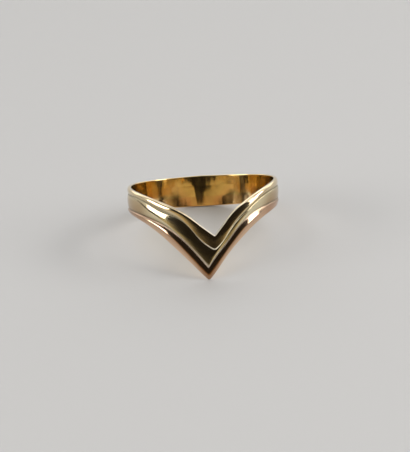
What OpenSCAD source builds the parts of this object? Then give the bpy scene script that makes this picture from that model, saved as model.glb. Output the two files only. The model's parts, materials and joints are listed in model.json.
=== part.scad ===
// Wishbone ring of three strands of gold wire, round-faced outside, soldered side by side into one band.
// The band runs level round the back of the finger and drops to a point at the front.
// It lies as it rests on a table, on its point and on the back of its lower rim.

/* [Finger hole] */
// Inside diameter, about UK size O or US size 7
inside_d = 17.5; // [14:0.1:22]
// How much the hole opens out behind the point, on the radius
flare = 0.12; // [0:0.02:0.2]

/* [Metal thickness at the edges] */
// Upper and lower rims
rim_t = 0.28; // [0.25:0.01:0.36]
// Metal left under the upper groove
groove_t = 0.36; // [0.25:0.01:0.36]
// Lower edge of the middle strand, which stands proud of the rose one
middle_foot_t = 0.42; // [0.25:0.01:0.42]
// Upper edge of the lower, rose strand
lower_head_t = 0.32; // [0.25:0.01:0.42]

/* [Strand faces, from the top] */
// Roundness over the crowns: 1 is a ridge, and 2 is round
flatness = [1.9, 2, 1.6]; // [1:0.1:3]
// Steepness at the edges: 0.5 is half-round, and 1 is a gentle bow
fullness = [0.68, 0.7, 0.85]; // [0.4:0.01:1]

/* [Lines from the top: upper rim, upper groove, lower groove, lower rim] */
// Height at the back of the finger
back_z = [1.85, 0.6, -0.8, -2.05]; // [-4:0.05:4]
// Height that each line bends up to at the sides
side_z = [3.1, 1.45, 0, -0.2]; // [-4:0.05:4]
// Height at the point
point_z = [-3.95, -5.55, -7.6, -9.2]; // [-14:0.05:0]
// Turn of the point towards +X, in degrees
point_turn = [6, 5.5, 0, 0]; // [-10:0.5:10]
// Radius of the point
point_round = [0.1, 0.3, 0.08, 0.2]; // [0.05:0.01:1]
// Slope of the arm on the -X side, in degrees
left_slope = [47.5, 40.5, 58.5, 52.5]; // [30:0.5:65]
// Slope of the arm on the +X side, in degrees
right_slope = [60, 50, 58.5, 55.5]; // [30:0.5:65]
// Softness of the bend from the arm on the -X side into the band
left_bend = [3.9, 1.5, 3.6, 3.3]; // [0.5:0.1:5]
// Softness of the bend from the arm on the +X side into the band
right_bend = [4.9, 2, 2.9, 3.6]; // [0.5:0.1:5]
// How far the arm on the -X side bows up on its way
left_bow = [0.3, 0.8, 0.1, -0.05]; // [-0.8:0.05:0.8]
// How far the arm on the +X side bows up on its way
right_bow = [0.2, 0.35, -0.25, 0.15]; // [-0.8:0.05:0.8]

/* [Smoothness] */
// Sections round the ring
sections = 144; // [96:8:160]
// Steps across each strand
strand_steps = 7; // [4:1:8]

/* [Hidden] */

bore_r = inside_d / 2;
// Radius at which slopes along the band are measured
line_r = bore_r + groove_t;
// Metal at the upper and lower edge of each strand
head_t = [rim_t, groove_t, lower_head_t];
foot_t = [groove_t, middle_foot_t, rim_t];
UPPER_RIM = 0;
LOWER_RIM = 3;
// The crown of each strand at turns from the point: how thick the metal is there, less where it is filed down
// at the point, and its place, from 0 at the strand's upper edge to 1 at its lower
TURN = 0;
THICKNESS = 1;
PLACE = 2;
crowns = [
    // [turn, [thickness of upper, middle, lower], [place in upper, middle, lower]]
    [-180, [0.5, 0.54, 0.5], [0.5, 0.5, 0.5]],
    [-70, [0.48, 0.54, 0.52], [0.4, 0.45, 0.25]],
    [-45, [0.5, 0.6, 0.6], [0.7, 0.6, 0.34]],
    [-25, [0.42, 0.45, 0.54], [0.35, 0.82, 0.45]],
    [-10, [0.42, 0.46, 0.44], [0.25, 0.48, 0.52]],
    [0, [0.39, 0.47, 0.42], [0.3, 0.35, 0.52]],
    [15, [0.4, 0.45, 0.45], [0.85, 0.3, 0.53]],
    [40, [0.56, 0.52, 0.5], [0.6, 0.12, 0.47]],
    [60, [0.5, 0.54, 0.48], [0.6, 0.15, 0.2]],
    [180, [0.5, 0.54, 0.5], [0.5, 0.5, 0.5]]
];
// The solid starts this far inside the bore, which then cuts it true
bore_spare = 0.3;
// Height above and below the band that the bore runs on
bore_reach = 1;
// The straight bore ends this far under the lower rim at the back, and the flare starts
bore_step = 0.15;
bore_low = back_z[LOWER_RIM] - bore_step;
flare_low = point_z[LOWER_RIM] - bore_reach;
bore_fn = 96;
// Sections are closest together where the arms meet, by this share of even spacing
closeness = 0.3;
// Way along the band from the point to the top of each arm's bow, and how narrow the bow is
left_bow_at = 3.5;
right_bow_at = 2.5;
bow_tightness = 6;

function sq(x) = x * x;
function mixed(a, b, share) = a + (b - a) * share;

// How far a section is from the point, from -180 to 180 degrees
function away_at(i) =
    let (t = 2 * i / sections - 1)
    180 * (closeness * t + (1 - closeness) * t * t * t);

// Turn at which a section meets a line; 0 faces -Y, and 90 faces +X.
// A section slants between points that stand apart, as a mitre does, and is upright at the back.
function line_turn(line, away) = away + point_turn[line] * (1 + cos(away)) / 2;

// Radius of the finger hole at a height
function hole_r(z) = bore_r + flare * max(0, (bore_low - z) / (bore_low - flare_low));

// A straight arm that bends softly into a level
function bent(arm, level, bend) =
    (arm + level) / 2 - norm([(arm - level) / 2, bend]);

// Height of an arm that starts at the point of a line and climbs along the band
function arm_z(line, slope, bend, run) =
    let (drop = point_z[line] - side_z[line])
    bent(side_z[line] + drop - sq(bend) / drop + run * tan(slope), side_z[line], bend);

// Share of an arm's bow: nothing at the point, all of it where the bow is highest, and fading past it
function bowed(share) = pow(share * exp(1 - share), bow_tightness);

// Height of one of the four lines in a section
function line_z(line, away) =
    let (
        on_left = away < 0,
        slope = on_left ? left_slope[line] : right_slope[line],
        bend = on_left ? left_bend[line] : right_bend[line],
        bow = on_left ? left_bow[line] : right_bow[line],
        bow_at = on_left ? left_bow_at : right_bow_at,
        round_r = point_round[line],
        arc = line_r * PI / 180,
        run = norm([arc * away, round_r]) - round_r,
        backness = sq((1 - cos(away)) / 2)
    )
    arm_z(line, slope, bend, run)
    + bow * bowed(run / bow_at)
    + backness * (back_z[line] - arm_z(line, slope, bend, arc * 180));

function along_line(line, away, radius) = [radius, line_turn(line, away), line_z(line, away)];

// Smooth step from 0 to 1
function eased(share) = sq(share) * (3 - 2 * share);

// A crown's thickness or place in a section, eased between the rows of the table of crowns
function crown_value(measure, strand, away) =
    let (
        row = max([for (k = [0 : len(crowns) - 2]) if (away >= crowns[k][TURN]) k]),
        before = crowns[row],
        after = crowns[row + 1],
        gone = (away - before[TURN]) / (after[TURN] - before[TURN])
    )
    mixed(before[measure][strand], after[measure][strand], eased(gone));

// Outline of a strand from one line to the next, as [radius, turn, height]
function strand_outline(strand, away) =
    let (
        upper = along_line(strand, away, bore_r + head_t[strand]),
        lower = along_line(strand + 1, away, bore_r + foot_t[strand]),
        crown_r = bore_r + crown_value(THICKNESS, strand, away),
        place = crown_value(PLACE, strand, away)
    )
    [for (step = [0 : strand_steps])
        let (
            across = (1 - cos(180 * step / strand_steps)) / 2,
            edge = mixed(upper, lower, across),
            flank = across < place ? place : 1 - place,
            bulge = max(0, 1 - pow(abs(across - place) / flank, flatness[strand]))
        )
        edge + [(crown_r - edge[0]) * pow(bulge, fullness[strand]), 0, 0]];

// Outline without its first point, where it would stand on the last one of the strand above it
function without_first(list) = [for (i = [1 : len(list) - 1]) list[i]];

// Inner edge of a rim, inset inside the finger hole's wall
function inner_edge(line, away, inset) = along_line(line, away, hole_r(line_z(line, away)) - inset);

// Whole section from the inside of the upper rim, down the outside, to the inside of the lower rim.
// The upper and middle strands share the groove's point; the middle one's foot is a step above the lower one.
function section(away, inset) =
    concat(
        [inner_edge(UPPER_RIM, away, inset)],
        strand_outline(0, away),
        without_first(strand_outline(1, away)),
        strand_outline(2, away),
        [inner_edge(LOWER_RIM, away, inset)]
    );

function placed(p) = [p[0] * sin(p[1]), -p[0] * cos(p[1]), p[2]];

function ring_points(inset) =
    [for (i = [0 : sections - 1])
        for (p = section(away_at(i), inset))
            placed(p)];

// Lowest point of the point's inner edge and of the back's outer edge, as [distance from the axis, height]
front_foot = [hole_r(point_z[LOWER_RIM]), point_z[LOWER_RIM]];
back_foot = [bore_r + rim_t, back_z[LOWER_RIM]];
// The ring leans back until both feet are on the table
rest_tilt = atan2(back_foot[1] - front_foot[1], back_foot[0] + front_foot[0]);

function rested(p) =
    [p[0], p[1] * cos(rest_tilt) + p[2] * sin(rest_tilt), p[2] * cos(rest_tilt) - p[1] * sin(rest_tilt)];

outside = [for (p = ring_points(0)) rested(p)];
function lowest(axis) = min([for (p = outside) p[axis]]);
function highest(axis) = max([for (p = outside) p[axis]]);
// Middle of the ring's outline on the table
foot_centre = [(lowest(0) + highest(0)) / 2, (lowest(1) + highest(1)) / 2, lowest(2)];

// Closed skin over the sections, which run round the ring
module soldered_strands() {
    points = ring_points(bore_spare);
    per = len(section(0, 0));
    polyhedron(
        points = points,
        faces = [
            for (i = [0 : sections - 1])
                for (j = [0 : per - 1])
                    let (
                        here = i * per,
                        next = ((i + 1) % sections) * per,
                        k = (j + 1) % per
                    )
                    each [[here + j, next + j, here + k], [here + k, next + j, next + k]]
        ],
        convexity = 10
    );
}

// Straight bore through the level band, opening out slightly behind the point
module finger_hole() {
    high = back_z[UPPER_RIM] + bore_reach;
    rotate_extrude($fn = bore_fn)
        polygon([[0, flare_low], [hole_r(flare_low), flare_low], [bore_r, bore_low], [bore_r, high], [0, high]]);
}

module wishbone_band() {
    color("goldenrod")
        translate(-foot_centre)
            rotate([-rest_tilt, 0, 0])
                difference() {
                    soldered_strands();
                    finger_hole();
                }
}

wishbone_band();
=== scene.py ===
import json
import math
from functools import partial

import bmesh
import bpy
from mathutils import Matrix, Vector


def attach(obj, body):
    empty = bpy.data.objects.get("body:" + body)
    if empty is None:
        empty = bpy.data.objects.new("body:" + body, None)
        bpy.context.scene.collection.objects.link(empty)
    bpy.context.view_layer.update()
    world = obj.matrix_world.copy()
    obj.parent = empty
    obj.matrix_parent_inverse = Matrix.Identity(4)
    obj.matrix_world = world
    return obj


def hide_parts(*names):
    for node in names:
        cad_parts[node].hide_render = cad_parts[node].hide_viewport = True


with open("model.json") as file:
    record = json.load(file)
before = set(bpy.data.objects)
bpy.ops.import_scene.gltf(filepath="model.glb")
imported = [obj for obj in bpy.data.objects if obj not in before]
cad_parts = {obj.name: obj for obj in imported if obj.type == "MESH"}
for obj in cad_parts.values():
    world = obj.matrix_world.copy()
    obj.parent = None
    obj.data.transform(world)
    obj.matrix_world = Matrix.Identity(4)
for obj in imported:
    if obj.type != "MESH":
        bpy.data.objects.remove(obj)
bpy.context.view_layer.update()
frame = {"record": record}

# The ring's own measures, in millimetres. The finger hole and the lean of the ring come from the frame.
MM = 0.001
hole = frame["record"]["mounts"][0]
HOLE_RADIUS = hole["dims"]["r_mm"]
RING_CENTRE = Vector(hole["pos_m"])
LEAN = math.atan2(hole["axis"][1], hole["axis"][2])
# How much the hole opens out behind the point, on the radius, and the heights where that starts and is full
FLARE = 0.12
FLARE_FROM = -2.2
FLARE_TO = -10.2

# How thick the metal is at the rims, under the upper groove, and on either side of the lower one, where the
# middle strand stands proud of the lower, rose one
RIM_METAL = 0.28
GROOVE_METAL = 0.36
MIDDLE_FOOT_METAL = 0.42
LOWER_HEAD_METAL = 0.32
# Radius of the rims' inner edges
INNER_ROUND = 0.08

# A strand's two sides, and for each strand the lines there and how thick the metal is at them
SIDES = ("upper", "lower")
STRAND_LINES = {
    "upper": ("upper rim", "upper groove"),
    "middle": ("upper groove", "lower groove"),
    "lower": ("lower groove", "lower rim"),
}
EDGE_METAL = {
    "upper": (RIM_METAL, GROOVE_METAL),
    "middle": (GROOVE_METAL, MIDDLE_FOOT_METAL),
    "lower": (LOWER_HEAD_METAL, RIM_METAL),
}

# The four lines, in mm and degrees: each line's height at the back, the height it bends to at the sides, its
# height, turn and roundness at the point, and how either arm climbs, bends and bows
LINE_COLUMNS = ("back", "side", "point", "turn", "round", "left slope", "right slope",
                "left bend", "right bend", "left bow", "right bow")
LINES = {
    "upper rim": (1.85, 3.1, -3.95, 6.0, 0.1, 47.5, 60.0, 3.9, 4.9, 0.3, 0.2),
    "upper groove": (0.6, 1.45, -5.55, 5.5, 0.3, 40.5, 50.0, 1.5, 2.0, 0.8, 0.35),
    "lower groove": (-0.8, 0.0, -7.6, 0.0, 0.08, 58.5, 58.5, 3.6, 2.9, 0.1, -0.25),
    "lower rim": (-2.05, -0.2, -9.2, 0.0, 0.2, 52.5, 55.5, 3.3, 3.6, -0.05, 0.15),
}
# Way along the band from the point to the top of each arm's bow, and how narrow the bow is
LEFT_BOW_AT = 3.5
RIGHT_BOW_AT = 2.5
BOW_TIGHTNESS = 6.0

# The crown of each strand at turns from the point, in degrees: how thick the metal is there, less at the
# point where it is filed down, and where the crown lies, from 0 at the strand's upper edge to 1 at its lower
CROWN_TURNS = (-180, -70, -45, -25, -10, 0, 15, 40, 60, 180)
CROWN_METAL = {
    "upper": (0.5, 0.48, 0.5, 0.42, 0.42, 0.39, 0.4, 0.56, 0.5, 0.5),
    "middle": (0.54, 0.54, 0.6, 0.45, 0.46, 0.47, 0.45, 0.52, 0.54, 0.54),
    "lower": (0.5, 0.52, 0.6, 0.54, 0.44, 0.42, 0.45, 0.5, 0.48, 0.5),
}
CROWN_PLACE = {
    "upper": (0.5, 0.4, 0.7, 0.35, 0.25, 0.3, 0.85, 0.6, 0.6, 0.5),
    "middle": (0.5, 0.45, 0.6, 0.82, 0.48, 0.35, 0.3, 0.12, 0.15, 0.5),
    "lower": (0.5, 0.25, 0.34, 0.45, 0.52, 0.52, 0.53, 0.47, 0.2, 0.5),
}
# Shape of the faces: how flat they are over the crown, and how steep at the edges
FLATNESS = {"upper": 1.9, "middle": 2.0, "lower": 1.6}
FULLNESS = {"upper": 0.68, "middle": 0.7, "lower": 0.85}
# How many mm the hand polish takes off at the crowns, how often that changes in a millimetre, and how fine
# its detail is
WAVINESS = 0.012
WAVES_PER_MM = 0.45
WAVE_DETAIL = 1.0

# Steps of a strand's mesh round the ring and round its section, and how far apart the sections are at the
# point, as a share of even spacing
SECTIONS = 640
SECTION_STEPS = 96
CLOSENESS = 0.3
# Share of a section's steps on each stretch, in order round it
STRETCHES = {"crown": 0.6, "lower side": 0.05, "lower corner": 0.06, "inside": 0.18, "upper corner": 0.06,
             "upper side": 0.05}
# Points this close together become one, and edges that turn by more than this many degrees look sharp
MERGE_DISTANCE = 0.0002
SHARP_ANGLE = 40.0

# Looks of each strand's face. Seams, the scuffed edges and their painted highlight, the painted shade at the
# sides and the painted shade below the crown go from 0 to 1, widths are in mm, and the reach is how far
# round from the point the scuffing goes, in degrees.
LOOK_COLUMNS = ("upper seam", "lower seam", "seam width", "upper wear", "lower wear", "wear width",
                "wear reach", "side shade", "under shade")
LOOKS = {
    "upper": (0.0, 1.0, 0.12, 1.0, 0.0, 0.1, 26.0, 0.0, 0.0),
    "middle": (1.0, 1.0, 0.14, 0.6, 0.8, 0.16, 13.0, 1.0, 0.0),
    "lower": (1.0, 0.0, 0.24, 1.0, 0.0, 0.2, 26.0, 1.0, 1.0),
}
# How far round from the point the soldered seams are polished out, in degrees
SEAM_POLISHED = 24.0
# Painted shade darkens the sides of the band, most at the lower edge: how far round from the point that
# starts and is full, and starts to fade and is down to the share of it that is left at the back, in degrees
SIDE_SHADE_FROM = (42, 60)
SIDE_SHADE_TO = (95, 130)
SIDE_SHADE_BACK = 0.35
# The upper part of a strand's face, in which half of the painted side shade comes up; the rest comes up
# evenly from the upper edge to the lower
SIDE_SHADE_UPPER_PART = 0.25
# How far round from the point the painted shade on the face below a crown reaches, and reaches down to its
# edge, in degrees
UNDER_REACH = 45.0
UNDER_POINT = 8.0
# How softly the painted shade starts at the crown, where on the way to the edge it is gone, and how much of
# it is left at the edge of the point
UNDER_SOFTNESS = 0.04
UNDER_GONE = 0.9
UNDER_LEFT = 0.7

# The golds: the colour outside, and the richer one inside, a painted reflection that deepens the colour
# where the walls mirror each other
GOLDS = {
    "yellow gold": ((0.84, 0.68, 0.43), (0.94, 0.72, 0.34)),
    "pale gold": ((0.81, 0.70, 0.46), (0.94, 0.73, 0.35)),
    "rose gold": ((0.90, 0.64, 0.44), (0.93, 0.63, 0.32)),
}
# A seed for the unevenness of each strand and of its gold
SEEDS = {"upper": 1.0, "middle": 2.0, "lower": 3.0}
# Colour of the scuffed metal on the edges, pale near white, which is partly a painted highlight, and how far
# it and the dark solder cover the gold
WORN_HIGHLIGHT = (0.95, 0.9, 0.84)
WORN_HIGHLIGHT_COVER = 0.8
SEAM_COVER = 0.8
# Shares of its red, green and blue that a gold keeps under the painted shade at the sides, and under the
# painted shade below the crown
SIDE_SHADE_TINT = (0.6, 0.47, 0.38)
UNDER_SHADE_TINT = (0.33, 0.22, 0.15)
# Share of its brightness that a gold keeps in a streak, in a stain outside and inside, and in the solder
STREAK = 0.75
OUTSIDE_STAIN = 0.9
INSIDE_STAIN = 0.8
SOLDER = 0.3
# Patterns in the gold: how often they change in a millimetre, level and up or down, and how fine they are
PATTERNS = {
    "outside marks": (0.7, 22.0, 3.0),
    "inside marks": (1.1, 0.25, 1.0),
    "dents": (0.6, 0.6, 0.0),
    "stains": (0.5, 0.8, 3.0),
}
# Levels of a pattern between which marks in the polish, and streaks and stains in the colour, come up
MARKS_SHOW = (0.3, 0.7)
STREAKS_SHOW = (0.45, 0.7)
STAINS_SHOW = (0.35, 0.7)
# How deep the marks and the dents are in mm, outside and inside
OUTSIDE_DEPTHS = (0.003, 0.01)
INSIDE_DEPTHS = (0.03, 0.03)
# Roughness of the polish between its marks and in them, and what a seam and a worn edge add to it
POLISH = (0.08, 0.14)
SEAM_ROUGHER = 0.25
WORN_ROUGHER = 0.5


class Field:
    """A number socket of a node tree that can be used in ordinary sums."""

    def __init__(self, tree, socket):
        self.tree = tree
        self.socket = socket

    def made(self, operation, *values):
        node = self.tree.nodes.new("ShaderNodeMath")
        node.operation = operation
        for place, value in enumerate(values):
            plug(self.tree, value, node.inputs[place])
        return Field(self.tree, node.outputs[0])

    def __add__(self, other):
        return self.made("ADD", self, other)

    def __sub__(self, other):
        return self.made("SUBTRACT", self, other)

    def __rsub__(self, other):
        return self.made("SUBTRACT", other, self)

    def __mul__(self, other):
        return self.made("MULTIPLY", self, other)

    def __truediv__(self, other):
        return self.made("DIVIDE", self, other)

    def __pow__(self, other):
        return self.made("POWER", self, other)

    def sin(self):
        return self.made("SINE", self)

    def cos(self):
        return self.made("COSINE", self)

    def tan(self):
        return self.made("TANGENT", self)

    def exp(self):
        return self.made("EXPONENT", self)

    def radians(self):
        return self.made("RADIANS", self)

    def size(self):
        return self.made("ABSOLUTE", self)

    def at_least(self, other):
        return self.made("MAXIMUM", self, other)

    def is_below(self, other):
        return self.made("LESS_THAN", self, other)

    def ramp(self, start, end, low=0.0, high=1.0, kind="LINEAR"):
        """From low at start to high at end, and level outside them."""
        node = self.tree.nodes.new("ShaderNodeMapRange")
        node.interpolation_type = kind
        plug(self.tree, self, node.inputs["Value"])
        for name, value in (("From Min", start), ("From Max", end), ("To Min", low), ("To Max", high)):
            node.inputs[name].default_value = value
        return Field(self.tree, node.outputs["Result"])


def plug(tree, value, socket):
    """Sets a socket to a plain value or links a field or another socket to it."""
    if isinstance(value, Field):
        tree.links.new(value.socket, socket)
    elif isinstance(value, bpy.types.NodeSocket):
        tree.links.new(value, socket)
    else:
        socket.default_value = value


def add_node(tree, kind, settings=None, **values):
    """Adds a node with its settings, and plugs values into its inputs, whose names have _ for a space."""
    made = tree.nodes.new(kind)
    for name, value in (settings or {}).items():
        setattr(made, name, value)
    for name, value in values.items():
        plug(tree, value, made.inputs[name.replace("_", " ")])
    return made


def hypotenuse(a, b):
    return (a * a + b * b) ** 0.5


def mix(a, b, share):
    return a + (b - a) * share


def fading(distance, reach):
    """Falls from 1 at no distance, softly, to near 0 at twice the reach."""
    share = distance / reach
    return (share * share * -1.0).exp()


def new_tree(name, inputs, outputs):
    """A geometry tree with named sockets, its inputs as fields, and its output node."""
    tree = bpy.data.node_groups.new(name, "GeometryNodeTree")
    for label, kind, value in inputs:
        item = tree.interface.new_socket(label, in_out="INPUT", socket_type=kind)
        if value is not None:
            item.default_value = value
    for label, kind in outputs:
        tree.interface.new_socket(label, in_out="OUTPUT", socket_type=kind)
    entry = tree.nodes.new("NodeGroupInput")
    result = tree.nodes.new("NodeGroupOutput")
    given = {socket.name: Field(tree, socket) for socket in entry.outputs if socket.name}
    return tree, given, result


def band_line_tree():
    """Height of one line of the band and its turn round the finger, in a section so far from the point."""
    numbers = [("away", 0.0), ("line radius", HOLE_RADIUS + GROOVE_METAL)]
    numbers += [(column, 0.0) for column in LINE_COLUMNS]
    tree, given, result = new_tree(
        "Band line",
        [(label, "NodeSocketFloat", value) for label, value in numbers],
        [("height", "NodeSocketFloat"), ("turn here", "NodeSocketFloat")],
    )
    away = given["away"]
    on_left = away.is_below(0.0)

    def by_arm(name):
        return mix(given[f"right {name}"], given[f"left {name}"], on_left)

    side, back, bend = given["side"], given["back"], by_arm("bend")
    drop = given["point"] - side
    start = side + drop - bend * bend / drop
    steepness = by_arm("slope").radians().tan()

    def arm(run):
        climbing = start + run * steepness
        return mix(climbing, side, 0.5) - hypotenuse((climbing - side) * 0.5, bend)

    run = hypotenuse(given["line radius"] * away, given["round"]) - given["round"]
    bow_share = run / (on_left * (LEFT_BOW_AT - RIGHT_BOW_AT) + RIGHT_BOW_AT)
    bow = by_arm("bow") * (bow_share * (1.0 - bow_share).exp()) ** BOW_TIGHTNESS
    backness = (1.0 - away.cos()) * 0.5
    height = arm(run) + bow + backness * backness * (back - arm(given["line radius"] * math.pi))
    turn = away + given["turn"].radians() * (away.cos() + 1.0) * 0.5
    plug(tree, height, result.inputs["height"])
    plug(tree, turn, result.inputs["turn here"])
    return tree


def strand_numbers(name):
    """All the numbers that make one strand, by the names of the tree's inputs."""
    numbers = {
        "hole radius": HOLE_RADIUS,
        "lean": LEAN,
        "flatness": FLATNESS[name],
        "fullness": FULLNESS[name],
        "waviness": WAVINESS,
        "waves per mm": WAVES_PER_MM,
        "seed": SEEDS[name],
        "seam polished": SEAM_POLISHED,
    }
    for side, line, metal in zip(SIDES, STRAND_LINES[name], EDGE_METAL[name]):
        numbers[f"{side} metal"] = metal
        numbers[f"{side} inner round"] = INNER_ROUND if line.endswith("rim") else 0.0
        numbers.update({f"{side} {column}": value for column, value in zip(LINE_COLUMNS, LINES[line])})
    for turn, metal, place in zip(CROWN_TURNS, CROWN_METAL[name], CROWN_PLACE[name]):
        numbers[f"crown metal at {turn}"] = metal
        numbers[f"crown place at {turn}"] = place
    numbers.update(zip(LOOK_COLUMNS, LOOKS[name]))
    return numbers


def crown_value(given, measure, away):
    """The crown's metal or place in a section, eased between the turns of the table."""
    value = given[f"crown {measure} at {CROWN_TURNS[0]}"]
    for before, after in zip(CROWN_TURNS, CROWN_TURNS[1:]):
        gone = away.ramp(math.radians(before), math.radians(after), kind="SMOOTHSTEP")
        value = mix(value, given[f"crown {measure} at {after}"], gone)
    return value


def edge_band(given, look, width, from_top, from_bottom):
    """A look that a strand has along its upper and lower edges, fading away from them."""
    at_top = given[f"upper {look}"] * fading(from_top, width)
    return at_top.at_least(given[f"lower {look}"] * fading(from_bottom, width))


def face_looks(given, away, across, tall, below_crown):
    """How far the outer face is a seam, scuffed with a painted highlight, under painted shade at the sides
    and under painted shade below the crown, from 0 to 1.
    """
    from_top = tall * across
    from_bottom = tall * (1.0 - across)
    seam = edge_band(given, "seam", given["seam width"], from_top, from_bottom)
    seam = seam * (1.0 - fading(away, given["seam polished"].radians()))
    # Scuffed edges: rougher, and pale in colour, which is partly a painted highlight
    worn = edge_band(given, "wear", given["wear width"], from_top, from_bottom)
    worn = worn * fading(away, given["wear reach"].radians())

    # Painted shade at the sides of the band, darker towards the lower edge
    beside = away.size().ramp(*map(math.radians, SIDE_SHADE_FROM), kind="SMOOTHSTEP")
    beside = beside * away.size().ramp(*map(math.radians, SIDE_SHADE_TO), 1.0, SIDE_SHADE_BACK, kind="SMOOTHSTEP")
    dull = (across.ramp(0.0, SIDE_SHADE_UPPER_PART) + across) * 0.5 * beside * given["side shade"]

    # Painted shade below the crown, fading towards the edge on the arms and staying down to the edge at the
    # point
    shade = below_crown.ramp(0.0, UNDER_GONE, 1.0, 0.0)
    on_arm = shade * fading(away, math.radians(UNDER_REACH))
    at_point = shade * (1.0 - UNDER_LEFT) + UNDER_LEFT
    under = mix(on_arm, at_point, fading(away, math.radians(UNDER_POINT)))
    under = under * below_crown.ramp(-UNDER_SOFTNESS, UNDER_SOFTNESS) * given["under shade"]
    return {"seam": seam, "worn": worn, "dull": dull, "under": under}


def strand_tree():
    """A closed strand, half-round outside, that runs between two lines of the band."""
    inputs = [("Geometry", "NodeSocketGeometry", None)]
    inputs += [(label, "NodeSocketFloat", value) for label, value in strand_numbers("upper").items()]
    inputs += [
        ("ring centre", "NodeSocketVector", None),
        ("sections", "NodeSocketInt", SECTIONS),
        ("section steps", "NodeSocketInt", SECTION_STEPS),
        ("gold", "NodeSocketMaterial", None),
    ]
    tree, given, result = new_tree("Strand", inputs, [("Geometry", "NodeSocketGeometry")])
    node = partial(add_node, tree)

    # A flat grid, whose X becomes the way round the ring and whose Y the way round the section
    grid = node("GeometryNodeMeshGrid", Size_X=1.0, Size_Y=1.0, Vertices_X=given["sections"] + 1.0,
                Vertices_Y=given["section steps"] + 1.0)
    where = node("ShaderNodeSeparateXYZ", Vector=node("GeometryNodeInputPosition").outputs[0])
    along = Field(tree, where.outputs["X"]) * 2.0
    round_section = Field(tree, where.outputs["Y"]) + 0.5
    away = (along * CLOSENESS + along * along * along * (1.0 - CLOSENESS)) * math.pi

    # The lines above and below the strand
    edges = []
    band_line = band_line_tree()
    for side in SIDES:
        group = node("GeometryNodeGroup", {"node_tree": band_line})
        plug(tree, away, group.inputs["away"])
        plug(tree, given["hole radius"] + GROOVE_METAL, group.inputs["line radius"])
        for column in LINE_COLUMNS:
            plug(tree, given[f"{side} {column}"], group.inputs[column])
        edges.append((Field(tree, group.outputs["height"]), Field(tree, group.outputs["turn here"])))
    (top, top_turn), (bottom, bottom_turn) = edges
    tall = top - bottom

    # How far each stretch of the section has been gone along, from 0 to 1
    done, start = {}, 0.0
    for name, share in STRETCHES.items():
        done[name] = round_section.ramp(start, start + share)
        start += share
    lower_corner = done["lower corner"] * (math.pi / 2)
    upper_corner = done["upper corner"] * (math.pi / 2)

    def hole_at(height):
        return given["hole radius"] + (FLARE_FROM - height).at_least(0.0) * (FLARE / (FLARE_FROM - FLARE_TO))

    # The section, from the upper edge over the crown to the lower edge, and back up the inside
    upper_hole, lower_hole = hole_at(top), hole_at(bottom)
    upper_edge, lower_edge = (given["hole radius"] + given[f"{side} metal"] for side in SIDES)
    upper_round, lower_round = (given[f"{side} inner round"] for side in SIDES)
    across = (1.0 - (done["crown"] * math.pi).cos()) * 0.5
    edge = mix(upper_edge, lower_edge, across)
    crown_radius = given["hole radius"] + crown_value(given, "metal", away)
    crown_place = crown_value(given, "place", away)
    from_crown = across - crown_place
    flank = mix(1.0 - crown_place, crown_place, from_crown.is_below(0.0))
    crown = (1.0 - (from_crown.size() / flank) ** given["flatness"]).at_least(0.0) ** given["fullness"]
    radius = (
        edge
        + (crown_radius - edge) * crown
        - (lower_edge - lower_hole - lower_round) * done["lower side"]
        - lower_round * lower_corner.sin()
        + (upper_hole - lower_hole) * done["inside"]
        + upper_round * (1.0 - upper_corner.cos())
        + (upper_edge - upper_hole - upper_round) * done["upper side"]
    )
    height = (
        top
        - tall * across
        + lower_round * (1.0 - lower_corner.cos())
        + (tall - lower_round - upper_round) * done["inside"]
        + upper_round * upper_corner.sin()
    )
    turn = mix(top_turn, bottom_turn, (top - height) / tall)

    def on_cylinder(distance, level):
        spot = node("ShaderNodeCombineXYZ", X=distance * turn.sin(), Y=distance * turn.cos() * -1.0, Z=level)
        return spot.outputs[0]

    # Slight unevenness of wire polished by hand, which only takes metal off the crown
    noise = node("ShaderNodeTexNoise", {"noise_dimensions": "4D"}, Vector=on_cylinder(radius, height),
                 W=given["seed"], Scale=given["waves per mm"], Detail=WAVE_DETAIL)
    swell = (Field(tree, noise.outputs["Fac"]) - 1.0) * given["waviness"] * crown

    # From the ring's own millimetres to where it lies in the scene
    leaning = node("ShaderNodeVectorRotate", {"rotation_type": "X_AXIS"},
                   Vector=on_cylinder(radius + swell, height), Angle=given["lean"] * -1.0)
    metres = node("ShaderNodeVectorMath", {"operation": "SCALE"}, Vector=leaning.outputs[0], Scale=MM)
    standing = node("ShaderNodeVectorMath", {"operation": "ADD"})
    plug(tree, metres.outputs[0], standing.inputs[0])
    plug(tree, given["ring centre"], standing.inputs[1])

    # Kept for the golds: the looks of the outer face, 1 on the inside, and millimetres down the strand
    outside = 1.0 - done["lower side"]
    looks = face_looks(given, away, across, tall, from_crown / (1.0 - crown_place))
    kept = {name: look * outside for name, look in looks.items()}
    kept["inside"] = (radius - hole_at(height)).ramp(0.0, INNER_ROUND, 1.0, 0.0)
    kept["down"] = top - height
    flow = grid.outputs["Mesh"]
    for name, value in kept.items():
        store = node("GeometryNodeStoreNamedAttribute", {"data_type": "FLOAT", "domain": "POINT"},
                     Geometry=flow, Name=name, Value=value)
        flow = store.outputs["Geometry"]
    for kind, values in (
        ("GeometryNodeSetPosition", {"Position": standing.outputs[0]}),
        ("GeometryNodeMergeByDistance", {"Distance": MERGE_DISTANCE * MM}),
        ("GeometryNodeRealizeInstances", {}),
        ("GeometryNodeSetMaterial", {"Material": given["gold"]}),
    ):
        flow = node(kind, Geometry=flow, **values).outputs["Geometry"]
    plug(tree, flow, result.inputs["Geometry"])
    return tree


def face_outwards(mesh):
    work = bmesh.new()
    work.from_mesh(mesh)
    bmesh.ops.recalc_face_normals(work, faces=work.faces)
    work.to_mesh(mesh)
    work.free()


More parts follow.
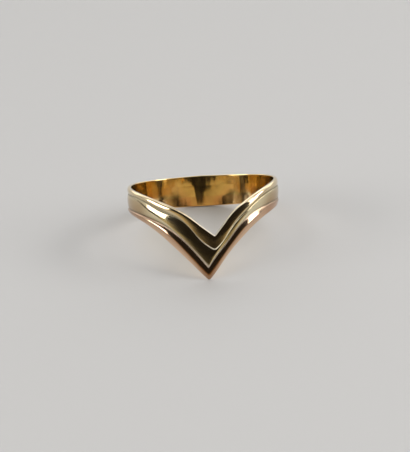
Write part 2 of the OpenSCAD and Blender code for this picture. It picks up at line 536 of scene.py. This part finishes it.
def strand(tree, name, metal):
    """Makes one strand with the tree, turns it into a plain mesh and puts it in place of the CAD band."""
    piece = bpy.data.objects.new(f"{name}_strand", bpy.data.meshes.new(f"{name}_strand"))
    bpy.context.scene.collection.objects.link(piece)
    modifier = piece.modifiers.new("Strand", "NODES")
    modifier.node_group = tree
    settings = {**strand_numbers(name), "ring centre": tuple(RING_CENTRE), "gold": metal}
    sockets = {item.name: item.identifier for item in tree.interface.items_tree if item.in_out == "INPUT"}
    for label, value in settings.items():
        modifier[sockets[label]] = value
    depsgraph = bpy.context.evaluated_depsgraph_get()
    mesh = bpy.data.meshes.new_from_object(piece.evaluated_get(depsgraph), preserve_all_data_layers=True,
                                           depsgraph=depsgraph)
    piece.modifiers.remove(modifier)
    piece.data = mesh
    face_outwards(mesh)
    mesh.shade_smooth()
    mesh.set_sharp_from_angle(angle=math.radians(SHARP_ANGLE))
    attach(piece, "root")
    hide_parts("wishbone_band")
    return piece


def tinted(colour, shares):
    """A colour with these shares of its red, green and blue."""
    return tuple(part * share for part, share in zip(colour, shares))


def darker(colour, share):
    return tinted(colour, (share, share, share))


def gold(name, seed):
    """Polished gold with file marks along the strand outside and up and down inside, matt soldered seams,
    scuffed edges in a pale colour that is partly a painted highlight, painted shade on the sides and below
    the crowns, and a richer colour inside that is a painted reflection of the walls mirroring each other."""
    metal = bpy.data.materials.new(name)
    metal.use_nodes = True
    tree = metal.node_tree
    node = partial(add_node, tree)
    shader = tree.nodes["Principled BSDF"]
    shader.inputs["Metallic"].default_value = 1.0

    # Millimetres in the ring's own directions, and what the strand keeps for its gold
    place = node("ShaderNodeMapping", Vector=node("ShaderNodeTexCoord").outputs["Object"],
                 Rotation=(LEAN, 0, 0), Scale=(1 / MM, 1 / MM, 1 / MM))
    spot = node("ShaderNodeSeparateXYZ", Vector=place.outputs[0])
    sideways, deep, high = (Field(tree, spot.outputs[axis]) for axis in "XYZ")
    seam, worn, dull, under, inner, down = (
        Field(tree, node("ShaderNodeAttribute", {"attribute_name": label}).outputs["Fac"])
        for label in ("seam", "worn", "dull", "under", "inside", "down")
    )

    def pattern(label, upright):
        level, rise, detail = PATTERNS[label]
        point = node("ShaderNodeCombineXYZ", X=sideways * level, Y=deep * level, Z=upright * rise)
        made = node("ShaderNodeTexNoise", {"noise_dimensions": "4D"}, Vector=point.outputs[0], W=seed,
                    Scale=1.0, Detail=detail)
        return Field(tree, made.outputs["Fac"])

    outside_marks = pattern("outside marks", down)
    inside_marks = pattern("inside marks", high)
    dents = pattern("dents", high)
    stains = pattern("stains", high).ramp(*STAINS_SHOW)

    def relief(marks, depths):
        mark_depth, dent_depth = depths
        return marks * mark_depth + dents * dent_depth

    surface = mix(relief(outside_marks, OUTSIDE_DEPTHS), relief(inside_marks, INSIDE_DEPTHS), inner)
    bump = node("ShaderNodeBump", Height=surface, Distance=MM, Strength=1.0)
    plug(tree, bump.outputs["Normal"], shader.inputs["Normal"])

    polished = mix(outside_marks.ramp(*MARKS_SHOW, *POLISH), inside_marks.ramp(*MARKS_SHOW, *POLISH), inner)
    plug(tree, polished + seam * SEAM_ROUGHER + worn * WORN_ROUGHER, shader.inputs["Roughness"])

    def blend(low, high, share):
        mixer = node("ShaderNodeMix", {"data_type": "RGBA"})
        plug(tree, share, mixer.inputs[0])
        for value, socket in ((low, mixer.inputs[6]), (high, mixer.inputs[7])):
            plug(tree, (*value, 1.0) if isinstance(value, tuple) else value, socket)
        return mixer.outputs[2]

    outside, inside = GOLDS[name]
    colour = outside
    for cover, share in (
        (darker(outside, STREAK), outside_marks.ramp(*STREAKS_SHOW)),
        (darker(outside, OUTSIDE_STAIN), stains),
        # Painted shade at the sides
        (tinted(outside, SIDE_SHADE_TINT), dull),
        # Painted shade below the crowns
        (tinted(outside, UNDER_SHADE_TINT), under),
        # Scuffed edges, pale in colour, partly a painted highlight
        (WORN_HIGHLIGHT, worn * WORN_HIGHLIGHT_COVER),
        # The richer inside colour, a painted reflection of the walls mirroring each other
        (blend(inside, darker(inside, INSIDE_STAIN), stains), inner),
        (darker(outside, SOLDER), seam * SEAM_COVER),
    ):
        colour = blend(colour, cover, share)
    plug(tree, colour, shader.inputs["Base Color"])
    return metal


# The floor, pale and matt: half its width in metres, its colour and its roughness
FLOOR_HALF = 1.2
FLOOR_COLOUR = (0.545, 0.54, 0.533, 1.0)
FLOOR_ROUGHNESS = 0.8


def pale_floor():
    surface = bpy.data.materials.new("pale floor")
    surface.use_nodes = True
    shader = surface.node_tree.nodes["Principled BSDF"]
    shader.inputs["Base Color"].default_value = FLOOR_COLOUR
    shader.inputs["Roughness"].default_value = FLOOR_ROUGHNESS
    mesh = bpy.data.meshes.new("floor")
    corners = [(x * FLOOR_HALF, y * FLOOR_HALF, 0) for x, y in ((-1, -1), (1, -1), (1, 1), (-1, 1))]
    mesh.from_pydata(corners, [], [(0, 1, 2, 3)])
    mesh.materials.append(surface)
    floor = bpy.data.objects.new("floor", mesh)
    bpy.context.scene.collection.objects.link(floor)


# The camera, from the photo: its frame, the ring's place and width in it in pixels, the metal at the ring's
# sides in mm, the camera's distance in metres and its angles in degrees
PHOTO_PX = (410, 452)
RING_CENTRE_PX = (203, 196)
RING_WIDTH_PX = 151.5
SIDE_METAL = 0.54
CAMERA_AWAY = 0.26
AZIMUTH, ELEVATION, ROLL = -1.2, 26.8, 2.9
# Width of the sensor in mm, and the nearest that the camera sees in metres
SENSOR = 36.0
CLIP_START = 0.01


def towards(azimuth, elevation):
    """The direction from the ring to something seen at these angles, in degrees."""
    turn, rise = math.radians(azimuth), math.radians(elevation)
    return Vector((math.sin(turn) * math.cos(rise), -math.cos(turn) * math.cos(rise), math.sin(rise)))


def camera():
    data = bpy.data.cameras.new("camera")
    eye = bpy.data.objects.new("camera", data)
    bpy.context.scene.collection.objects.link(eye)
    back = towards(AZIMUTH, ELEVATION)
    ring_radius = (HOLE_RADIUS + SIDE_METAL) * MM
    focal_px = (RING_WIDTH_PX / 2) / math.tan(math.asin(ring_radius / CAMERA_AWAY))
    data.sensor_width = SENSOR
    data.lens = SENSOR * focal_px / max(PHOTO_PX)
    data.clip_start = CLIP_START
    aim = (-back).to_track_quat("-Z", "Y").to_matrix()
    roll = Matrix.Rotation(math.radians(-ROLL), 3, "Z")
    # The ring isn't in the middle of the frame, so the camera looks past it a little
    right = (PHOTO_PX[0] / 2 - RING_CENTRE_PX[0]) / focal_px
    down = (PHOTO_PX[1] / 2 - RING_CENTRE_PX[1]) / focal_px
    past = Matrix.Rotation(-math.atan(down), 3, "X") @ Matrix.Rotation(-math.atan(right), 3, "Y")
    eye.location = RING_CENTRE + back * CAMERA_AWAY
    eye.rotation_mode = "QUATERNION"
    eye.rotation_quaternion = (aim @ roll @ past).to_quaternion()
    bpy.context.scene.camera = eye


# Soft lights: the direction they come from in degrees, distance, width and height in metres, and brightness
LIGHTS = {
    "left window": ((-74, 20), 0.5, 0.36, 0.18, 5.0),
    "right window": ((75, 24), 0.5, 0.19, 0.32, 5.0),
    "right window, far part": ((98, 33), 0.5, 0.2, 0.14, 5.0),
}
LIGHT_COLOUR = (1.0, 0.985, 0.96)


def soft_light(name, direction, distance, width, height, brightness):
    data = bpy.data.lights.new(name, "AREA")
    data.shape = "RECTANGLE"
    data.size = width
    data.size_y = height
    data.energy = brightness * math.pi * width * height
    data.color = LIGHT_COLOUR
    light = bpy.data.objects.new(name, data)
    light.location = towards(*direction) * distance
    light.rotation_mode = "QUATERNION"
    light.rotation_quaternion = (-light.location).to_track_quat("-Z", "Y")
    bpy.context.scene.collection.objects.link(light)


# Brightness of the room at the sides, behind and above, and the colours of its dark front and of the glow
# low down there
ROOM_SIDE = 0.7
ROOM_BACK = 1.6
ROOM_ABOVE = 2.2
ROOM_FRONT = (0.016, 0.012, 0.008)
ROOM_GLOW = (0.58, 0.46, 0.25)
# Where the parts of the room start and are full, or fade and are gone, as seen from the ring: the depth goes
# from -1 straight in front to 1 straight behind, and the height from -1 straight down to 1 straight up
SIDE_DEPTH = (-0.05, 0.1)
BACK_DEPTH = (0.44, 0.6)
WALL_HEIGHT = (0.05, 0.15)
ABOVE_HEIGHT = (0.74, 0.80)
ABOVE_END = (0.84, 0.9)
ABOVE_DEPTH = (0.0, 0.2)
GLOW_DEPTH = (-0.55, -0.35)
GLOW_HEIGHT = (0.03, 0.2)
# Low down the walls are dark in front, and further back have this share of their brightness
LOW_WALL_DEPTH = (0.2, 0.4)
LOW_WALL = 0.5


def room():
    """A soft grey room, dark on the side that the polished faces of the point mirror."""
    world = bpy.data.worlds.new("studio")
    world.use_nodes = True
    bpy.context.scene.world = world
    tree = world.node_tree
    shade = tree.nodes["Background"]
    split = add_node(tree, "ShaderNodeSeparateXYZ",
                     Vector=tree.nodes.new("ShaderNodeTexCoord").outputs["Generated"])
    depth, height = (Field(tree, split.outputs[axis]) for axis in "YZ")

    def rising(direction, limits, full=1.0):
        return direction.ramp(*limits, 0.0, full, "SMOOTHSTEP")

    def falling(direction, limits):
        return direction.ramp(*limits, 1.0, 0.0, "SMOOTHSTEP")

    walls = rising(depth, BACK_DEPTH, ROOM_BACK).at_least(rising(depth, SIDE_DEPTH, ROOM_SIDE))
    walls = walls * rising(height, WALL_HEIGHT).at_least(depth.ramp(*LOW_WALL_DEPTH, 0.0, LOW_WALL))
    above = rising(height, ABOVE_HEIGHT, ROOM_ABOVE) * falling(height, ABOVE_END)
    above = above * falling(depth, ABOVE_DEPTH)
    glow = falling(depth, GLOW_DEPTH) * falling(height, GLOW_HEIGHT)
    colour = tree.nodes.new("ShaderNodeCombineXYZ")
    for part, front, low in zip("XYZ", ROOM_FRONT, ROOM_GLOW):
        plug(tree, walls.at_least(above) + glow * low + front, colour.inputs[part])
    plug(tree, colour.outputs[0], shade.inputs["Color"])


camera()
room()
pale_floor()
for light_name, placing in LIGHTS.items():
    soft_light(light_name, *placing)

strands = strand_tree()
yellow_gold = gold("yellow gold", SEEDS["upper"])
pale_gold = gold("pale gold", SEEDS["middle"])
rose_gold = gold("rose gold", SEEDS["lower"])
upper = strand(strands, "upper", yellow_gold)
middle = strand(strands, "middle", pale_gold)
lower = strand(strands, "lower", rose_gold)

bpy.context.scene.view_settings.view_transform = "Standard"
